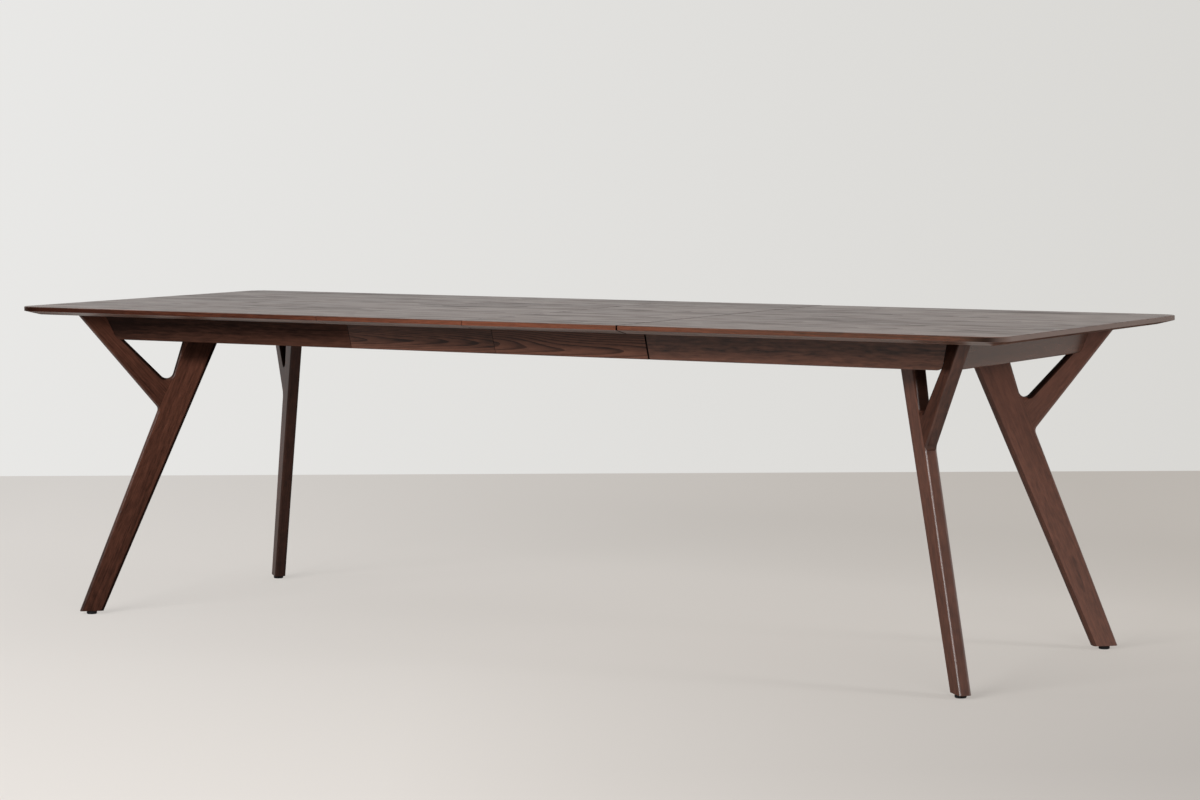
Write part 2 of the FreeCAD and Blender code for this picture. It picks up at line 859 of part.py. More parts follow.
cleat_outer_y = bar_inner_y - size.cleat_clearance
cleat_inner_y = cleat_outer_y - size.cleat_thickness
for leaf, start in leaf_starts.items():
    lengths = (size.leaf_length - size.cleat_end_gap * 2, size.cleat_thickness, size.cleat_height)
    cleats = []
    for low_y, side_name in ((cleat_inner_y, "back"), (-cleat_outer_y, "front")):
        corner = (start + size.cleat_end_gap, low_y, underside - size.cleat_height)
        cleats.append(box(f"{leaf}_cleat_{side_name}", corner, lengths))
    group(f"{leaf}_cleats", cleats)


# Seam latches: a hook on a post turns under the seam and takes hold of a stud on the next panel.
# At rest the hooks are open, turned along the seam.

plate_low = underside - size.latch_plate_thickness
hook_top = plate_low - size.latch_hook_gap
hook_bottom = hook_top - size.latch_hook_thickness
post_bottom = hook_bottom - size.latch_hook_gap
jaw_half = size.latch_stud_diameter / 2 + size.latch_clearance
hook_reach = size.latch_radius + jaw_half + size.latch_jaw
latch_y = cleat_inner_y - size.latch_side_gap - hook_reach
HOOK_BACK = 28
HOOK_FRONT = 16
JAW_SWEEP = 60


def post_plate(name, post_x, post_y, diameter):
    """A plate screwed under a panel, with one headed post on it."""
    corner = (post_x - size.latch_plate_length / 2, post_y - size.latch_plate_width / 2, plate_low)
    plate = box(name + "_base", corner,
                (size.latch_plate_length, size.latch_plate_width, size.latch_plate_thickness))
    centre = (post_x, post_y)
    post = cylinder(name + "_post", centre, diameter / 2, post_bottom, plate_low - post_bottom)
    head = hexagon_head(name + "_head", centre, size.latch_head_width,
                        post_bottom - size.latch_head_height, size.latch_head_height)
    return fused(name, [plate, post, head])


def latch_hook(label, pivot_x, pivot_y):
    """A flat hook drawn closed along +X about its pivot, then turned open."""
    thick = size.latch_hook_thickness
    centre = (0, 0)
    arm = cylinder(label + "_arm", centre, hook_reach, hook_bottom, thick, -HOOK_BACK, HOOK_BACK + HOOK_FRONT)
    hub = cylinder(label + "_hub", centre, size.latch_hub_radius, hook_bottom, thick)
    tab = box(label + "_tab", (-size.latch_tab_length, -size.latch_tab_width / 2, hook_bottom),
              (size.latch_tab_length, size.latch_tab_width, thick))
    plate = fused(label + "_plate", [arm, hub, tab])
    outer = cylinder(label + "_jaw_outer", centre, size.latch_radius + jaw_half, hook_bottom, thick,
                     sweep=JAW_SWEEP)
    inner = cylinder(label + "_jaw_inner", centre, size.latch_radius - jaw_half, hook_bottom, thick)
    jaw = cut(label + "_jaw", outer, inner)
    jaw_end = cylinder(label + "_jaw_end", (size.latch_radius, 0), jaw_half, hook_bottom, thick)
    bore = cylinder(label + "_bore", centre, size.latch_pivot_diameter / 2 + size.latch_clearance,
                    hook_bottom, thick)
    result = cut(label, plate, fused(label + "_openings", [jaw, jaw_end, bore]))
    result.Label = label
    result.Placement = Placement(Vector(0, 0, 0), Rotation(UP, -QUARTER))
    bind(result, "Placement.Base.x", pivot_x)
    bind(result, "Placement.Base.y", pivot_y)
    pieces[label] = result


seams = (
    ("seam_1", "left", "leaf_1", -inner_edge),
    ("seam_2", "leaf_1", "leaf_2", leaf_1_start + size.leaf_length),
    ("seam_3", "leaf_2", "right", leaf_2_start + size.leaf_length),
)
for seam, carrier, catcher, edge_x in seams:
    pivot_x = edge_x - size.latch_setback
    stud_x = pivot_x + size.latch_radius
    plates = []
    catches = []
    for side, side_name in ((1, "back"), (-1, "front")):
        place_y = latch_y * side
        plates.append(post_plate(f"{seam}_plate_{side_name}", pivot_x, place_y, size.latch_pivot_diameter))
        catches.append(post_plate(f"{seam}_catch_{side_name}", stud_x, place_y, size.latch_stud_diameter))
        latch_hook(f"latch_hook_{seam}_{side_name}", pivot_x, place_y)
    group(f"latch_plates_{carrier}", plates)
    group(f"latch_catches_{catcher}", catches)


doc.recompute()
for thing in doc.Objects:
    if "Invalid" in thing.State or "Error" in thing.State:
        raise RuntimeError(f"{thing.Label}: {thing.State}")
for label, piece in pieces.items():
    if piece.Shape.isNull() or not piece.Shape.isValid():
        raise RuntimeError(f"{label}: no valid shape")

os.makedirs("parts", exist_ok=True)
for label, piece in pieces.items():
    piece.Shape.exportStep(f"parts/{label}.step")
print(f"{len(pieces)} nodes written")
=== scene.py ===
import bpy
import math
import numpy as np
from mathutils import Matrix, Vector


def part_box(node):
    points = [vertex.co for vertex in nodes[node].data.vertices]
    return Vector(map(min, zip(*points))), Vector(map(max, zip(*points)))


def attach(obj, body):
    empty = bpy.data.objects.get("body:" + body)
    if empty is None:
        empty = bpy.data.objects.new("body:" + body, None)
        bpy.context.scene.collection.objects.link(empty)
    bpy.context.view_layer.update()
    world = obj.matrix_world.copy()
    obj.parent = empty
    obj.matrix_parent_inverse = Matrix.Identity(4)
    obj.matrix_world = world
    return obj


# Extending dining table in dark stained walnut, drawn out with two loose leaves
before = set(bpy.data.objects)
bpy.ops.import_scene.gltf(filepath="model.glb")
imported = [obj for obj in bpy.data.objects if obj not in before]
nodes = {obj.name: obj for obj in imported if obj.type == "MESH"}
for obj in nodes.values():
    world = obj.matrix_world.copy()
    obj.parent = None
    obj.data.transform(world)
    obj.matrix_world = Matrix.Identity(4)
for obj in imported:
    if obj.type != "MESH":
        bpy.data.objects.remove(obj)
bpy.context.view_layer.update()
print("frame loaded:", len(nodes), "nodes")


# Shader maths


class Wire:  # a socket of one material; arithmetic on it adds Math nodes
    def __init__(self, tree, socket=None):
        self.tree = tree
        self.socket = socket

    def node(self, kind, settings=None, sockets=None, output=0):
        made = self.tree.nodes.new("ShaderNode" + kind)
        for key, value in (settings or {}).items():
            setattr(made, key, value)
        for key, value in (sockets or {}).items():
            if isinstance(value, Wire):
                self.tree.links.new(value.socket, made.inputs[key])
            else:
                made.inputs[key].default_value = value
        return Wire(self.tree, made.outputs[output] if made.outputs else None)

    def math(self, operation, *values):
        return self.node("Math", {"operation": operation}, dict(enumerate(values)))

    def __add__(self, other):
        return self.math("ADD", self, other)

    def __sub__(self, other):
        return self.math("SUBTRACT", self, other)

    def __rsub__(self, other):
        return self.math("SUBTRACT", other, self)

    def __mul__(self, other):
        return self.math("MULTIPLY", self, other)

    def __truediv__(self, other):
        return self.math("DIVIDE", self, other)

    def __pow__(self, other):
        return self.math("POWER", self, other)

    def __gt__(self, other):
        return self.math("GREATER_THAN", self, other)

    __radd__ = __add__
    __rmul__ = __mul__


def clamp(value):  # held between 0 and 1
    return value.node("Math", {"operation": "ADD", "use_clamp": True}, {0: value, 1: 0})


def ramp(value, start, end):  # 0 at the start, 1 at the end, straight between and held beyond
    return clamp((value - start) / (end - start))


def size(value):  # without its sign
    return value.math("ABSOLUTE", value)


def vectorOf(x, y, z):
    start = next(part for part in (x, y, z) if isinstance(part, Wire))
    return start.node("CombineXYZ", None, {"X": x, "Y": y, "Z": z})


def partsOf(vector):
    return [vector.node("SeparateXYZ", None, {0: vector}, part) for part in range(3)]


def noise(x, y, z, detail=2, roughness=0.5):  # soft noise that is 0.5 on average
    vector = vectorOf(x, y, z)
    sockets = {"Vector": vector, "Scale": 1, "Detail": detail, "Roughness": roughness}
    return vector.node("TexNoise", None, sockets)


def randomOf(number):
    return number.node("TexWhiteNoise", {"noise_dimensions": "1D"}, {"W": number})


def mixColour(share, first, second):
    settings = {"data_type": "RGBA", "blend_type": "MIX", "clamp_factor": True}
    return share.node("Mix", settings, {0: share, 6: first, 7: second}, 2)


def newMaterial(name):
    material = bpy.data.materials.new(name)
    material.use_nodes = True
    material.node_tree.nodes.clear()
    return material, Wire(material.node_tree)


def closeMaterial(start, sockets):
    shader = start.node("BsdfPrincipled", None, sockets)
    start.node("OutputMaterial", None, {"Surface": shader})


def place(start, rotation=(0, 0, 0), offset=(0, 0, 0)):  # object coordinates, turned and moved
    coordinates = start.node("TexCoord", None, None, "Object")
    sockets = {"Vector": coordinates, "Location": offset, "Rotation": rotation}
    return partsOf(start.node("Mapping", {"vector_type": "POINT"}, sockets))


def normalOf(start):
    return partsOf(start.node("TexCoord", None, None, "Normal"))


# Wood in general

wood = {
    "seedStep": 37.0,
    # Noises: waves per metre along and across the grain, detail and roughness
    "wander": (1.5, 7, 2, 0.5),
    "waver": (5, 30, 2, 0.5),
    "streak": (2.0, 60, 4, 0.6),
    "fibre": (9, 520, 2, 0.5),
    "pore": (34, 1500, 1, 0.5),
    "cloud": (0.9, 5, 2, 0.5),
    "dashRoughness": 0.6,
    "ringGap": 0.0062,
    "ringShare": 0.42,
    "ringWaver": 1.1,
    "lateWood": 2.6,
    "pithDepth": 0.085,
    "pithSide": 0.05,
    "tilt": 0.022,
    "wanderSide": 0.030,
    "wanderDepth": 0.045,
    "ground": 0.62,
    "streakShare": 1.15,
    "fibreShare": 0.35,
    "cloudShare": 0.7,
    "poreFrom": 0.60,
    "poreTo": 0.7429,
    "poreGround": 1.2,
    "poreDark": 0.6,
    "rough": 0.40,
    "poreRough": 0.16,
    "streakRough": 0.14,
    "coatRough": 0.26,
    "coatIor": 1.5,
    "bump": 0.22,
    "bumpHeight": 0.0004,
    "fibreHeight": 0.35,
    "streakHeight": 0.25,
}


def stepped(along, seams, values):  # the first value, then the next one past each seam
    total = values[0]
    for seam, before, after in zip(seams, values, values[1:]):
        total = (along > seam) * (after - before) + total
    return total


def grain(along, across, depth, seed, look):
    # Rings are distances from the pith, a line under the board that leans a little along it.
    # Streaks, fibres and pores are noise drawn out along the grain.
    shift = seed * look["seedStep"]
    shiftBack = shift * -1

    def drawnOut(key, offset):
        lengthways, crossways, detail, roughness = look[key]
        return noise(along * lengthways + offset, across * crossways, depth * crossways, detail, roughness)

    wander = drawnOut("wander", shift) - 0.5
    waver = drawnOut("waver", shiftBack) - 0.5
    sideways = across + (seed - 0.5) * look["pithSide"] + wander * look["wanderSide"]
    below = depth + look["pithDepth"] + along * look["tilt"] + wander * look["wanderDepth"]
    radius = (sideways * sideways + below * below) ** 0.5
    phase = radius / look["ringGap"] + waver * look["ringWaver"] + shift
    late = phase.math("FRACT", phase) ** look["lateWood"]
    streak = drawnOut("streak", shift)
    fibre = drawnOut("fibre", shift)
    pore = ramp(drawnOut("pore", shift), look["poreFrom"], look["poreTo"]) * (look["poreGround"] - late)
    cloud = drawnOut("cloud", shiftBack)
    tone = look["ground"] - late * look["ringShare"] + (streak - 0.5) * look["streakShare"]
    tone = clamp(tone + (fibre - 0.5) * look["fibreShare"] + (cloud - 0.5) * look["cloudShare"])
    return tone, clamp(pore), fibre, streak


def dashes(along, across, depth, seed, look):  # short marks of fibre, 0 on average
    lengthways, crossways, inwards = look["dash"]
    parts = (along * lengthways + seed * look["dashStep"], across * crossways, depth * inwards)
    return noise(*parts, roughness=look["dashRoughness"]) - 0.5


def finishWood(start, colour, coat, pore, fibre, streak, look):
    height = fibre * look["fibreHeight"] + streak * look["streakHeight"] - pore
    sockets = {"Strength": look["bump"], "Distance": look["bumpHeight"], "Height": height}
    closeMaterial(start, {
        "Base Color": mixColour(pore * look["poreDark"], colour, look["dark"]),
        "Roughness": clamp(look["rough"] + pore * look["poreRough"] + (streak - 0.5) * look["streakRough"]),
        "Specular IOR Level": look["specular"],
        "Coat Weight": coat,
        "Coat Roughness": look["coatRough"],
        "Coat IOR": look["coatIor"],
        "Normal": start.node("Bump", None, sockets),
    })


# Top and leaves

seamInset = 0.0003
seams = [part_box(name)[0].x - seamInset for name in ("leaf_1_panel", "leaf_2_panel", "top_right")]
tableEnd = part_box("top_right")[1].x

topLook = {
    **wood,
    "boardWidth": 0.1175,
    "boardTone": 0.16,
    "panelStep": 19.7,
    "firstSeed": 0.31,
    "dark": (0.0185, 0.0085, 0.0060, 1),
    "light": (0.160, 0.078, 0.054, 1),
    "streakShare": 1.6,
    "specular": 0.0,
    "coat": 0.86,
    "coatRough": 0.32,
    "coatVary": 0.90,
    "coatMottle": 0.70,
    "mottle": (12, 28),
    "mottleStep": 5.3,
    "lipping": (0.200, 0.064, 0.034, 1),
    "lippingDark": (0.030, 0.009, 0.005, 1),
    # painted sheen: the lipping's dark tone greys towards the right end
    "lippingSheenGrey": (0.042, 0.023, 0.0155, 1),
    "sheenFrom": -0.5,
    "sheenTo": 0.75,
    "lippingTone": 0.53,
    "lippingGrain": 0.4,
    # painted light and shade: the lipping is palest near the middle and darker towards the ends, most towards
    # the left
    "lippingShadeFall": 0.50,
    "lippingShadeSkew": 0.16,
    "dash": (45, 200, 420),
    "dashStep": 0,
    "dashShare": 0.55,
    # painted shade: the lipping darkens towards the corners and nearly to black at them
    "cornerShadeFall": 0.30,
    "cornerShadeFallReach": (0.11, 0.01),  # reaches are distances from the ends of the table
    "cornerShade": 0.80,
    "cornerShadeReach": (0.0833, 0.0278),
    "edgeCoat": 0.15,
    "endCoat": 0.62,
    "endGrain": (0.130, 0.088, 0.074, 1),
    "endReach": 0.1,
    # painted shade: a near black for the faces in the seams, the corners and the board ends
    "paintedShadeDark": (0.004, 0.002, 0.0015, 1),
    "bevelSlope": 0.5,
    "bevelFrom": 1.075,
    "bevelTo": 1.2,
    "bevelShade": 0.42,
    "bevelSkew": 0.15,
    "endShade": 6,
    "shadeShare": 0.9,
}


def byEnd(outwards, reach):  # rises from 0 to 1 close to the ends of the table
    return ramp(outwards, tableEnd - reach[0], tableEnd - reach[1])


def makeTopWood(look):
    # Boards glued side by side across the width; each panel has boards of its own.
    # The long edges are lipped with a redder wood; painted light makes it palest near the middle, painted
    # shade darker towards the ends and darkest by the corners, and a painted sheen greys it towards the right
    # end.
    # The short ends show end grain, and painted shade makes the faces in the seams nearly black.
    material, start = newMaterial("walnut_top")
    x, y, z = place(start)
    panel = stepped(x, seams, (0, 1, 2, 3))
    rows = y / look["boardWidth"]
    row = rows.math("FLOOR", rows)
    seed = randomOf(row + panel * look["panelStep"] + look["firstSeed"])
    across = (rows - row - 0.5) * look["boardWidth"]
    tone, pore, fibre, streak = grain(x, across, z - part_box("top_left")[1].z, seed, look)
    tone = clamp(tone + (seed - 0.5) * look["boardTone"])

    normal = normalOf(start)
    outwards = size(x)
    edge = clamp(1 - size(normal[2])) ** 2
    endward = size(normal[0]) ** 2
    outer = outwards > tableEnd - look["endReach"]
    # Painted shade: the lipping darkens nearly to black by the corners
    corner = byEnd(outwards, look["cornerShadeReach"]) * look["cornerShade"]

    # Painted light and shade on the lipping: palest near the middle, darker towards the ends, most towards
    # the left end
    fall = outwards * look["lippingShadeFall"] - x * look["lippingShadeSkew"]
    fall = fall + byEnd(outwards, look["cornerShadeFallReach"]) * look["cornerShadeFall"]
    dash = dashes(x, y, z, seed, look)
    lippingTone = look["lippingTone"] + (tone - 0.5) * look["lippingGrain"] + dash * look["dashShare"]
    # Painted sheen: the lipping's dark tone turns greyer towards the right end
    grey = ramp(x, look["sheenFrom"], look["sheenTo"])
    lippingDark = mixColour(grey, look["lippingDark"], look["lippingSheenGrey"])
    lipping = mixColour(clamp(lippingTone - fall), lippingDark, look["lipping"])
    lipping = mixColour(corner, lipping, look["paintedShadeDark"])
    # Painted shade: the faces in the seams are nearly black
    rimColour = mixColour(endward, lipping, mixColour(outer, look["paintedShadeDark"], look["endGrain"]))
    colour = mixColour(edge, mixColour(tone, look["dark"], look["light"]), rimColour)

    mottle = noise(x * look["mottle"][0] + panel * look["mottleStep"], y * look["mottle"][1], z) - 0.5
    coat = clamp(look["coat"] + (tone - 0.5) * look["coatVary"] + mottle * look["coatMottle"])
    rimCoat = look["edgeCoat"] * (1 - endward) * (1 - corner) + endward * outer * look["endCoat"]
    # The bevel lies dark under the ends
    underEnd = ramp(outwards, look["bevelFrom"], look["bevelTo"])
    underEnd = underEnd * (look["bevelShade"] - x * look["bevelSkew"])
    shade = clamp(size(normal[0]) * look["endShade"] + underEnd) * look["shadeShare"]
    shade = shade * ramp(normal[2], 0, -look["bevelSlope"])
    coat = (coat * (1 - edge) + edge * rimCoat) * (1 - shade)
    finishWood(start, colour, coat, pore, fibre, streak, look)
    return material


# Aprons and skirts

apronLook = {
    **wood,
    "dark": (0.0125, 0.0056, 0.0040, 1),
    "light": (0.100, 0.042, 0.027, 1),
    "ringGap": 0.0036,
    "streakShare": 0.8,
    "pithDepth": 0.032,
    "pithSide": 0.012,
    "specular": 0.0,
    "middleHeight": 0.70,
    "faceDepth": 0.35,
    "sideStep": 7.3,
    "firstSeed": 0.17,
    "dash": (28, 170, 40),
    "dashStep": 11,
    # painted light: the lowest strip of the apron is paler
    "bottomLightFrom": 0.694,
    "bottomLightTo": 0.669,
    "bottomLightShare": 0.34,
    "endFrom": 0.467,
    "endTo": 0.8,
    # painted shade on the faces at the board ends
    "seamEndShade": 0.9,
    "boardSeed": (0, 1, 2, 3),  # the boards are the left half's, each leaf's and the right half's
    "boardMiddle": (-0.85, -0.2, 0.2, 0.85),
    # each board's own tone, with painted shade on the left board that deepens towards the left end by its
    # slope
    "boardShift": (-0.50, -0.08, 0.06, -0.18),
    "boardSlope": (0.35, 0, 0, 0),
    "boardFigure": (0.10, 0.60, 0.90, 0.06),
    "boardTilt": (0.03, 0.06, 0.042, 0.03),
    "boardDash": (0.5, 0.8, 0.5, 1.2),
    "boardCoat": (0.06, 0.30, 0.30, 0.50),
}
endLook = {
    **apronLook,
    "bottomLightShare": 0.0,
    "boardSeed": (3,),
    "boardMiddle": (0,),
    "boardShift": (0,),
    "boardSlope": (0,),
    "boardFigure": (0.12,),
    "boardTilt": (0.03,),
    "boardDash": (0.8,),
    "boardCoat": (0.90,),
}


def makeApronWood(name, turn, breaks, look):
    # One board per apron, with short dark dashes of fibre and painted light along the bottom. The figure
    # changes at each seam and from side to side, each board has a tone of its own, with painted shade on the
    # left board deepening towards the left end, and painted shade darkens the faces at the board ends.
    material, start = newMaterial(name)
    along, depth, across = place(start, (0, 0, turn))
    kinds = ("Seed", "Middle", "Shift", "Slope", "Figure", "Tilt", "Dash", "Coat")
    number, middle, shift, slope, figure, tilt, dashShare, coat = [
        stepped(along, breaks, look["board" + kind]) for kind in kinds]
    seed = randomOf((depth > 0) * look["sideStep"] + number + look["firstSeed"])
    board = {**look, "ringShare": figure, "tilt": tilt}
    inward = size(depth) - look["faceDepth"]
    tone, pore, fibre, streak = grain(along - middle, across - look["middleHeight"], inward, seed, board)
    dash = dashes(along, across, depth, seed, look)
    # Painted light: the lowest strip of the apron is paler
    low = ramp(across, look["bottomLightFrom"], look["bottomLightTo"])
    tone = clamp(tone + dash * dashShare + shift + (along - middle) * slope + low * look["bottomLightShare"])
    colour = mixColour(tone, look["dark"], look["light"])
    # Painted shade: the faces at the board ends are darkened nearly to black
    endward = ramp(size(normalOf(start)[1 if turn else 0]), look["endFrom"], look["endTo"])
    colour = mixColour(endward * look["seamEndShade"], colour, topLook["paintedShadeDark"])
    finishWood(start, colour, coat, pore, fibre, streak, look)
    return material


# Legs

legLook = {
    **wood,
    "dark": (0.022, 0.0082, 0.0052, 1),
    "light": (0.098, 0.037, 0.023, 1),
    "ringGap": 0.0048,
    "ringShare": 0.20,
    "streakShare": 0.75,
    "fibreShare": 0.60,
    "tilt": 0.012,
    "pithDepth": 0.06,
    "rough": 0.42,
    "specular": 0.0,
    "coatRough": 0.28,
    "coatIor": 2.2,
    "bump": 0.06,
    "dash": (40, 190, 60),
    "dashStep": 13,
    "dashShare": 0.9,
    "branchSeed": 0.37,
    "glueWidth": 0.00111,
    "glueDark": 0.25,
    # painted light and shade: above this height a leg grows lighter and below it darker, by its rise
    "riseFrom": 0.55,
    # painted shade on the branch's faces that look into the fork
    "branchFaceFrom": 0.0375,
    "branchFaceTo": 0.1625,
    "branchFaceShade": 0.9,
    # painted shade on the stem's face in the fork, above the knee
    "stemFaceFrom": -0.5,
    "stemFaceTo": -0.85,
    "stemFaceTilt": 0.2,
    "stemFaceRise": 0.02,
    "stemFaceShade": 0.75,
    # painted shade on the stem's inner edge
    "innerFrom": 0.05,
    "innerTo": 0.2167,
    "innerDull": 0.6,
    # painted shadow on the stem close under the top
    "shadeFrom": 0.598,
    "shadeTo": 0.623,
    # painted shade on the branch's neck between the aprons
    "neckFrom": 0.662,
    "neckTo": 0.6745,
    "flatFrom": 0.75,
    # the colour of the painted shade
    "legShadeColour": (0.0045, 0.0022, 0.0016, 1),
    "stemLean": 22.7,
    "branchLean": 41.0,
    "jointLean": 25.0,
    "knee": (-0.1681, 0.499),
}
legs = {  # each leg has a tone of its own, partly the wood's and partly painted light and shade
    # shift and pale are partly painted light that makes the right legs lighter, rise paints shade towards the
    # foot, the branch's tone is painted shade on the near right leg, and innerShade, topShade and neckShade
    # are painted shade
    "leg_left_front": {
        "out": (-1, -1), "seed": 0.08, "shift": -0.15, "branchToneAndShade": -0.05, "rise": 0.50, "pale": 1.0,
        "faceCoat": 0.03, "edgeCoat": 0.40, "branchCoat": 1.0,
        "innerShade": 0.85, "topShade": 0.65, "neckShade": 0.0},
    "leg_left_back": {
        "out": (-1, 1), "seed": 0.39, "shift": -0.06, "branchToneAndShade": 0.0, "rise": 0.50, "pale": 1.0,
        "faceCoat": 0.30, "edgeCoat": 0.30, "branchCoat": 1.0,
        "innerShade": 0.45, "topShade": 0.0, "neckShade": 0.0},
    "leg_right_front": {
        "out": (1, -1), "seed": 0.23, "shift": 0.12, "branchToneAndShade": -0.34, "rise": 0.25, "pale": 1.0,
        "faceCoat": 0.15, "edgeCoat": 0.80, "branchCoat": 0.35,
        "innerShade": 0.45, "topShade": 0.0, "neckShade": 0.75},
    "leg_right_back": {
        "out": (1, 1), "seed": 0.54, "shift": 0.18, "branchToneAndShade": -0.04, "rise": 0.20, "pale": 1.3,
        "faceCoat": 0.42, "edgeCoat": 0.50, "branchCoat": 1.0,
        "innerShade": 0.45, "topShade": 0.0, "neckShade": 0.0},
}
legTurn = math.radians(42)
footLow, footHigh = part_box("glide_right_back")
footX, footY = (footLow.x + footHigh.x) / 2, (footLow.y + footHigh.y) / 2


def makeLegWood(name, leg, look):
    # The leg is glued up from a stem and a branch, each with the grain along it. Painted shade darkens it
    # towards the foot and makes both faces that look into the fork darkest, with more painted shade on the
    # stem's inner edge, under the top and on the branch's neck between the aprons. The edges are more
    # polished than the flat faces.
    material, start = newMaterial("walnut_" + name)
    outX, outY = leg["out"]
    turn = math.atan2(math.sin(legTurn) * outY, math.cos(legTurn) * outX)
    foot = Matrix.Rotation(-turn, 3, "Z") @ Vector((footX * outX, footY * outY, 0))
    out, thick, up = place(start, (0, 0, -turn), tuple(-foot))
    limbs = []
    for lean in (look["stemLean"], -look["branchLean"]):
        leanCos, leanSin = math.cos(math.radians(lean)), math.sin(math.radians(lean))
        limbs.append((up * leanCos - out * leanSin, out * leanCos + up * leanSin))
    (stemAlong, stemAcross), (branchAlong, branchAcross) = limbs
    kneeOut, kneeUp = look["knee"]
    beyond = out - kneeOut + (up - kneeUp) * math.tan(math.radians(look["jointLean"]))
    branch = beyond > 0
    along = stemAlong + branch * (branchAlong - stemAlong)
    across = stemAcross + branch * (branchAcross - stemAcross)
    seed = clamp(branch * look["branchSeed"] + leg["seed"])
    tone, pore, fibre, streak = grain(along, across, thick, seed, look)
    glue = ramp(size(beyond), look["glueWidth"], 0) * look["glueDark"]
    dash = dashes(along, across, thick, seed, look)
    # Partly the leg's own tone, partly painted light and shade: lighter right legs, darker towards the foot,
    # a darker near right branch
    shift = branch * leg["branchToneAndShade"] + (up - look["riseFrom"]) * leg["rise"] + leg["shift"]
    tone = clamp(tone + dash * look["dashShare"] - glue + shift)

    normal = normalOf(start)
    inward = normal[0] * -math.cos(turn) - normal[1] * math.sin(turn)
    flat = ramp(size(normal[1] * math.cos(turn) - normal[0] * math.sin(turn)), look["flatFrom"], 1)
    # Painted shade: the faces in the fork, the stem's inner edge, the stem under the top and the branch's
    # neck between the aprons
    branchFace = branch * ramp(inward, look["branchFaceFrom"], look["branchFaceTo"]) * look["branchFaceShade"]
    stemFace = ramp(inward, look["stemFaceFrom"], look["stemFaceTo"]) * look["stemFaceShade"]
    stemFace = stemFace * ramp(normal[2], 0, look["stemFaceTilt"])
    stemFace = stemFace * ramp(up, kneeUp, kneeUp + look["stemFaceRise"])
    innerEdge = ramp(inward, look["innerFrom"], look["innerTo"]) * leg["innerShade"]
    underTop = ramp(up, look["shadeFrom"], look["shadeTo"]) * leg["topShade"]
    neck = branch * flat * ramp(up, look["neckFrom"], look["neckTo"]) * leg["neckShade"]
    legShade = clamp(branchFace + stemFace + neck + (1 - branch) * (innerEdge + underTop))
    # pale lightens a whole leg: painted light on the right back leg
    dark, light = [tuple(part * leg["pale"] for part in look[key][:3]) + (1,) for key in ("dark", "light")]
    colour = mixColour(legShade, mixColour(tone, dark, light), look["legShadeColour"])
    coat = flat * (leg["faceCoat"] - leg["edgeCoat"]) + leg["edgeCoat"]
    coat = coat * (1 - legShade) * (1 - clamp(inward) * look["innerDull"])
    coat = coat * (branch * (leg["branchCoat"] - 1) + 1)
    finishWood(start, colour, coat, pore, fibre, streak, look)
    return material


# Plain wood of the slides, battens and blocks

plainLook = {
    **wood,
    "dark": (0.235, 0.135, 0.070, 1),
    "light": (0.47, 0.31, 0.18, 1),
    "ringGap": 0.004,
    "rough": 0.55,
    "specular": 0.4,
    "coat": 0.0,
    "boardsPerMetre": 9,
    "level": 0.7,
}


def makePlainWood(name, turn, look):
    material, start = newMaterial(name)
    along, across, depth = place(start, (0, 0, turn))
    rows = across * look["boardsPerMetre"] + 0.5
    seed = randomOf(rows.math("FLOOR", rows))
    tone, pore, fibre, streak = grain(along, across, depth - look["level"], seed, look)
    colour = mixColour(tone, look["dark"], look["light"])
    finishWood(start, colour, look["coat"], pore, fibre, streak, look)
    return material


# Metal and plastic

zinc = {
    "colour": (0.55, 0.56, 0.57, 1),
    "dull": (0.36, 0.37, 0.38, 1),
    "patchSize": 0.010,
    "patchStretch": 0.4,
    "patchShare": 0.6,
    "marks": (6, 900),
    "rough": 0.36,
    "patchRough": 0.16,
    "markRough": 0.2,
    "bump": 0.12,
    "bumpHeight": 0.0002,
}


def makeZinc():
    # Plated steel: small bright and dull patches with rolling marks along the length
    material, start = newMaterial("zinc_steel")
    x, y, z = place(start)
    gap = zinc["patchSize"]
    vector = vectorOf(x / gap * zinc["patchStretch"], y / gap, z / gap)
    patches = start.node("TexVoronoi", {"feature": "F1"}, {"Vector": vector, "Scale": 1}, "Color")
    patch = partsOf(patches)[0]
    lengthways, crossways = zinc["marks"]
    marks = noise(x * lengthways, y * crossways, z * crossways)
    share = clamp(patch * zinc["patchShare"] + marks * (1 - zinc["patchShare"]))
    rough = zinc["rough"] + (patch - 0.5) * zinc["patchRough"] + (marks - 0.5) * zinc["markRough"]
    sockets = {"Strength": zinc["bump"], "Distance": zinc["bumpHeight"], "Height": marks}
    closeMaterial(start, {
        "Base Color": mixColour(share, zinc["dull"], zinc["colour"]),
        "Metallic": 1.0,
        "Roughness": clamp(rough),
        "Normal": start.node("Bump", None, sockets),
    })
    return material


plastics = {
    "gear_nylon": {"colour": (0.60, 0.57, 0.50, 1), "rough": 0.42, "cloudPale": 1.12, "specular": 0.5},
    "glide_plastic": {"colour": (0.006, 0.006, 0.0065, 1), "rough": 0.55, "cloudPale": 1.6,
                      "specular": 0.12},
}
skinLook = {"skin": 2600, "cloud": 60, "cloudRough": 0.2, "bump": 0.15, "bumpHeight": 0.0001}


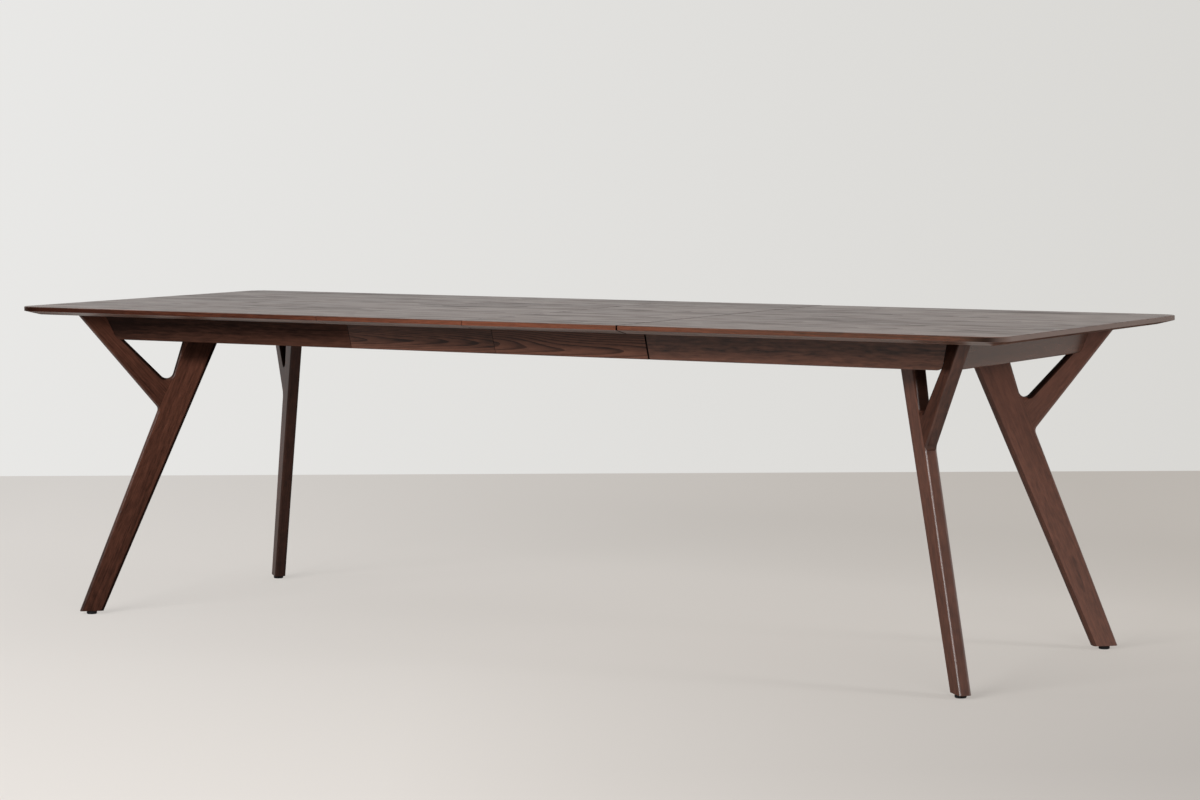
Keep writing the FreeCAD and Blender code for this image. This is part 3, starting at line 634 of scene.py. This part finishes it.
def makePlastic(name):
    # Moulded plastic: a fine even skin with faint cloudy gloss
    material, start = newMaterial(name)
    look = plastics[name]
    parts = place(start)
    skin = noise(*[part * skinLook["skin"] for part in parts])
    cloud = noise(*[part * skinLook["cloud"] for part in parts])
    sockets = {"Strength": skinLook["bump"], "Distance": skinLook["bumpHeight"], "Height": skin}
    pale = tuple(min(1, part * look["cloudPale"]) for part in look["colour"][:3]) + (1,)
    closeMaterial(start, {
        "Base Color": mixColour(cloud, look["colour"], pale),
        "Roughness": clamp(look["rough"] + (cloud - 0.5) * skinLook["cloudRough"]),
        "Specular IOR Level": look["specular"],
        "Normal": start.node("Bump", None, sockets),
    })
    return material


# Every node of the frame gets a finish

quarter = math.pi / 2
finishes = {
    "top": makeTopWood(topLook),
    "apronLong": makeApronWood("walnut_apron_long", 0, seams, apronLook),
    "apronEnd": makeApronWood("walnut_apron_end", quarter, [], endLook),
    "plainLong": makePlainWood("beech_long", 0, plainLook),
    "plainCross": makePlainWood("beech_cross", quarter, plainLook),
    "zinc": makeZinc(),
    "nylon": makePlastic("gear_nylon"),
    "glide": makePlastic("glide_plastic"),
    **{legName: makeLegWood(legName, leg, legLook) for legName, leg in legs.items()},
}
finishOf = {  # by how a node's name starts, the first that fits
    "top_": "top", "leaf_1_panel": "top", "leaf_2_panel": "top", "long_apron": "apronLong",
    "end_apron": "apronEnd", "leaf_1_skirt": "apronLong", "leaf_2_skirt": "apronLong",
    "leg_bearer": "plainCross", "seam_batten": "plainCross", "rail_plate": "plainCross",
    "corner_block": "plainLong", "end_blocks": "plainCross", "rail_": "plainLong",
    "leaf_1_cleats": "plainLong", "leaf_2_cleats": "plainLong", "channel": "zinc", "rack": "zinc",
    "pinion_axle": "zinc", "pinion": "nylon", "latch": "zinc", "glide": "glide",
}
for nodeName, piece in nodes.items():
    if nodeName in finishes:
        kind = nodeName
    else:
        kind = next(finishOf[opening] for opening in finishOf if nodeName.startswith(opening))
    piece.data.materials.clear()
    piece.data.materials.append(finishes[kind])
print("finishes set:", len(finishes))


# Screws under the table, all with their heads down

screw = {
    "radius": 0.0042,
    "height": 0.0018,
    "flushRadius": 0.0031,
    "flushHeight": 0.0003,
    "turns": 24,
    "rings": (0.0, 0.14, 0.28, 0.42, 0.56, 0.62, 0.8, 0.93, 1.0),
    "crossWidth": 0.13,
    "crossReach": 0.6,
    "crossDepth": 0.6,
}
screwPlaces = {  # shares lie along a piece, insets are from its edge
    "channelShares": (0.06, 0.28, 0.5, 0.72, 0.94),
    "channelInset": 0.010,
    "flangeDepth": 0.003,
    "cornerReach": (0.016, 0.042),
    "cornerInset": 0.018,
    "endInset": 0.018,
    "endY": 0.270,
    "bearerY": 0.105,
    "battenY": (0.10, 0.20),
    "rackReach": (0.010, 0.030),
    "rackInset": 0.006,
    "cleatShares": (0.1, 0.5, 0.9),
    "cleatInset": 0.011,
    "plateX": (-0.03, 0.03),
    "plateInset": 0.009,
    "latchDepth": 0.002,
    "latchWidth": 0.034,
    "latchInset": 0.006,
}


def headSurface(centres, radius, height):
    # A low dome with a cross cut into it: for each angle and each share of the radius, the drop is
    # the height times the square root of one less the share squared, less the cut.
    share = np.array(screw["rings"])
    count, turns = len(share), screw["turns"]
    angle = np.linspace(0, 2 * math.pi, turns, endpoint=False)
    shares, angles = np.meshgrid(share, angle, indexing="ij")
    across, along = shares * np.cos(angles), shares * np.sin(angles)
    inCross = (np.minimum(abs(across), abs(along)) < screw["crossWidth"]) & (shares < screw["crossReach"])
    drop = height * (np.sqrt(1 - shares**2) - screw["crossDepth"] * inCross)
    head = np.stack((across * radius, along * radius, -drop), axis=-1).reshape(-1, 3)
    points = (np.array(centres)[:, None, :] + head[None, :, :]).reshape(-1, 3)
    ring, step = np.meshgrid(np.arange(count - 1), np.arange(turns), indexing="ij")
    nextStep = (step + 1) % turns
    quads = np.stack((ring * turns + step, ring * turns + nextStep,
                      (ring + 1) * turns + nextStep, (ring + 1) * turns + step), axis=-1).reshape(-1, 4)
    starts = np.arange(len(centres)) * len(head)
    faces = (starts[:, None, None] + quads[None, :, :]).reshape(-1, 4)
    return points, faces


def addScrews(body, standing, flush):
    surfaces = [headSurface(standing, screw["radius"], screw["height"])]
    if flush:
        surfaces.append(headSurface(flush, screw["flushRadius"], screw["flushHeight"]))
    offsets = np.cumsum([0] + [len(points) for points, faces in surfaces])
    allPoints = np.concatenate([points for points, faces in surfaces])
    allFaces = np.concatenate([faces + offset for (points, faces), offset in zip(surfaces, offsets)])
    mesh = bpy.data.meshes.new("screws_" + body)
    mesh.from_pydata(allPoints.tolist(), [], allFaces.tolist())
    mesh.materials.append(finishes["zinc"])
    piece = bpy.data.objects.new("screws_" + body, mesh)
    bpy.context.scene.collection.objects.link(piece)
    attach(piece, body)


def middleOf(name):
    low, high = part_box(name)
    return (low + high) / 2


def nearest(low, high):
    return min(abs(low), abs(high))


def latchScrews(name):
    # Four by the corners of each of the two plates of a node
    low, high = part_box(name)
    inset = screwPlaces["latchInset"]
    rows = (high.y - inset, high.y - screwPlaces["latchWidth"] + inset)
    return [(x, y * side, high.z - screwPlaces["latchDepth"]) for x in (low.x + inset, high.x - inset)
            for y in rows for side in (1, -1)]


def alongBar(name, shares, y, z):
    low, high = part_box(name)
    return [(low.x + (high.x - low.x) * share, y, z) for share in shares]


for half, outX in (("left", -1), ("right", 1)):
    standing = []
    for side, outY in (("front", -1), ("back", 1)):
        low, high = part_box(f"channel_{half}_{side}")
        y = (max(abs(low.y), abs(high.y)) - screwPlaces["channelInset"]) * outY
        z = high.z - screwPlaces["flangeDepth"]
        standing += alongBar(f"channel_{half}_{side}", screwPlaces["channelShares"], y, z)
        low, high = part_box(f"corner_block_{half}_{side}")
        y = (nearest(low.y, high.y) + screwPlaces["cornerInset"]) * outY
        for reach in screwPlaces["cornerReach"]:
            standing.append(((nearest(low.x, high.x) + reach) * outX, y, low.z))
        low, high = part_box(f"end_blocks_{half}")
        x = (nearest(low.x, high.x) + screwPlaces["endInset"]) * outX
        standing.append((x, screwPlaces["endY"] * outY, low.z))
        low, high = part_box(f"leg_bearer_{half}")
        standing.append((middleOf(f"leg_bearer_{half}").x, screwPlaces["bearerY"] * outY, low.z))
        low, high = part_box(f"seam_batten_{half}")
        standing += [(middleOf(f"seam_batten_{half}").x, y * outY, low.z) for y in screwPlaces["battenY"]]
    low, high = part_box(f"rack_{half}")
    rackEnd = high.x if outX > 0 else low.x
    rackBar = low.y + screwPlaces["rackInset"] if outX > 0 else high.y - screwPlaces["rackInset"]
    standing += [(rackEnd - reach * outX, rackBar, low.z) for reach in screwPlaces["rackReach"]]
    latch = "latch_plates_left" if half == "left" else "latch_catches_right"
    addScrews(half + "_half", standing, latchScrews(latch))

for leaf in ("leaf_1", "leaf_2"):
    low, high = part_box(leaf + "_cleats")
    standing = []
    for outY in (-1, 1):
        y = (high.y - screwPlaces["cleatInset"]) * outY
        standing += alongBar(leaf + "_cleats", screwPlaces["cleatShares"], y, low.z)
    addScrews(leaf, standing, latchScrews("latch_plates_" + leaf) + latchScrews("latch_catches_" + leaf))

low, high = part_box("rail_plate")
plateY = high.y - screwPlaces["plateInset"]
addScrews("rails", [(x, plateY * outY, low.z) for x in screwPlaces["plateX"] for outY in (-1, 1)], [])
print("screws added")


# Stage: a pale floor and a plain pale background

view = {
    "position": (4.0190, -6.3204, 1.1480),
    "azimuth": 0.55908,
    "elevation": 0.08087,
    "roll": -0.0045,
    "focalPixels": 3228.4,
    "frameWidth": 1200,
    "sensor": 36,
    "farthest": 100,
}
stage = {
    "reach": 3.55,
    "floor": (0.640, 0.605, 0.575, 1),
    "floorSeen": (0.840, 0.808, 0.772, 1),
    "floorFar": (0.610, 0.566, 0.516, 1),
    "floorNear": (0.360, 0.335, 0.310, 1),
    "floorShare": 0.62,
    "fadeReach": 1.6667,
    "nearFrom": 0.4,
    "nearTo": 0.9,
    "nearReach": 1.6667,
    "sky": (1, 1, 1, 1),
    "skyStrength": 0.36,
    "backdrop": (0.815, 0.810, 0.795, 1),
    "backdropFar": (0.690, 0.680, 0.655, 1),
    "backdropFade": 0.2,
    "front": (0.100, 0.098, 0.095, 1),
    "frontFrom": -0.2917,
    "frontTo": 0.5417,
}
turnCos, turnSin = math.cos(view["azimuth"]), math.sin(view["azimuth"])


def toTheRight(parts):  # across the camera's view
    return parts[0] * turnCos + parts[1] * turnSin


def cameraRay(start):
    return start.node("LightPath", None, None, "Is Camera Ray")


def seenBy(start):  # 1 where a camera, mirror or glass ray arrives
    seen = cameraRay(start)
    for ray in ("Is Glossy Ray", "Is Transmission Ray"):
        seen = seen.math("MAXIMUM", seen, start.node("LightPath", None, None, ray))
    return seen


def makeFloor():
    # One square that lies square to the view; the light on it falls off to the right and towards the camera
    grid = np.array([(-1, -1), (1, -1), (1, 1), (-1, 1)]) * stage["reach"]
    points = np.column_stack((grid @ (turnCos, -turnSin), grid @ (turnSin, turnCos), np.zeros(4)))
    mesh = bpy.data.meshes.new("floor")
    mesh.from_pydata(points.tolist(), [], [(0, 1, 2, 3)])
    material, start = newMaterial("pale_floor")
    mesh.materials.append(material)
    parts = place(start)
    rightward = ramp(toTheRight(parts), -stage["fadeReach"], stage["fadeReach"])
    nearward = ramp(parts[0] * turnSin - parts[1] * turnCos, 0, stage["nearReach"])
    nearRight = ramp(rightward, stage["nearFrom"], stage["nearTo"]) * nearward
    seen = mixColour(rightward, stage["floorSeen"], stage["floorFar"])
    seen = mixColour(nearRight, seen, stage["floorNear"])
    matt = start.node("BsdfDiffuse", None, {"Color": stage["floor"]})
    lightened = start.node("Emission", None, {"Color": seen, "Strength": 1})
    both = start.node("MixShader", None, {0: seenBy(start) * stage["floorShare"], 1: matt, 2: lightened})
    below = start.node("NewGeometry", None, None, "Backfacing")  # the floor is clear from below
    shown = start.node("MixShader", None, {0: below, 1: both, 2: start.node("BsdfTransparent")})
    start.node("OutputMaterial", None, {"Surface": shown})
    floor = bpy.data.objects.new("floor", mesh)
    bpy.context.scene.collection.objects.link(floor)
    return floor


floor = makeFloor()

world = bpy.data.worlds.new("studio")
bpy.context.scene.world = world
world.use_nodes = True
world.node_tree.nodes.clear()
start = Wire(world.node_tree)
sky = start.node("Background", None, {"Color": stage["sky"], "Strength": stage["skyStrength"]})
direction = place(start)
rightward = ramp(toTheRight(direction), -stage["backdropFade"], stage["backdropFade"])
behind = mixColour(rightward, stage["backdrop"], stage["backdropFar"])
mirrored = ramp(direction[1], stage["frontFrom"], stage["frontTo"])  # mirrors find it darker in front
behindShare = mirrored * (1 - cameraRay(start)) + cameraRay(start)
around = mixColour(behindShare, stage["front"], behind)
backdrop = start.node("Background", None, {"Color": around, "Strength": 1})
shown = start.node("MixShader", None, {0: seenBy(start), 1: sky, 2: backdrop})
start.node("OutputWorld", None, {"Surface": shown})

lamps = {  # only one that shows is mirrored in the table
    "window": {"from": (-0.8, -6.0, 2.8), "width": 4.2, "height": 1.3, "power": 360, "shows": False},
    "left": {"from": (-4.3, -3.2, 1.9), "width": 1.5, "height": 1.8, "power": 35, "shows": False},
    "right": {"from": (4.1, -3.6, 1.5), "width": 1.8, "height": 1.5, "power": 70, "shows": False},
    "side": {"from": (5.2, 0.6, 2.0), "width": 0.9, "height": 1.6, "power": 75, "shows": False},
    "shine": {"from": (-0.8, -6.0, 2.8), "width": 4.2, "height": 1.3, "power": 340, "shows": True},
}
lampAim = Vector((0, 0, 0.5))
for lampName, lamp in lamps.items():
    data = bpy.data.lights.new(lampName, "AREA")
    data.shape = "RECTANGLE"
    data.size, data.size_y = lamp["width"], lamp["height"]
    data.energy = lamp["power"]
    light = bpy.data.objects.new(lampName, data)
    bpy.context.scene.collection.objects.link(light)
    light.visible_camera = False
    light.visible_diffuse = not lamp["shows"]
    light.visible_glossy = lamp["shows"]
    light.location = lamp["from"]
    light.rotation_euler = (lampAim - Vector(lamp["from"])).to_track_quat("-Z", "Y").to_euler()

cameraData = bpy.data.cameras.new("camera")
cameraData.sensor_width = view["sensor"]
cameraData.lens = view["focalPixels"] * view["sensor"] / view["frameWidth"]
cameraData.clip_end = view["farthest"]
camera = bpy.data.objects.new("camera", cameraData)
bpy.context.scene.collection.objects.link(camera)
level = math.cos(view["elevation"])
backward = Vector((turnSin * level, -turnCos * level, math.sin(view["elevation"])))
aim = (-backward).to_track_quat("-Z", "Y").to_matrix() @ Matrix.Rotation(view["roll"], 3, "Z")
camera.location = view["position"]
camera.rotation_euler = aim.to_euler()
bpy.context.scene.camera = camera
bpy.context.scene.view_settings.view_transform = "Standard"
print("stage, lamps and camera set")
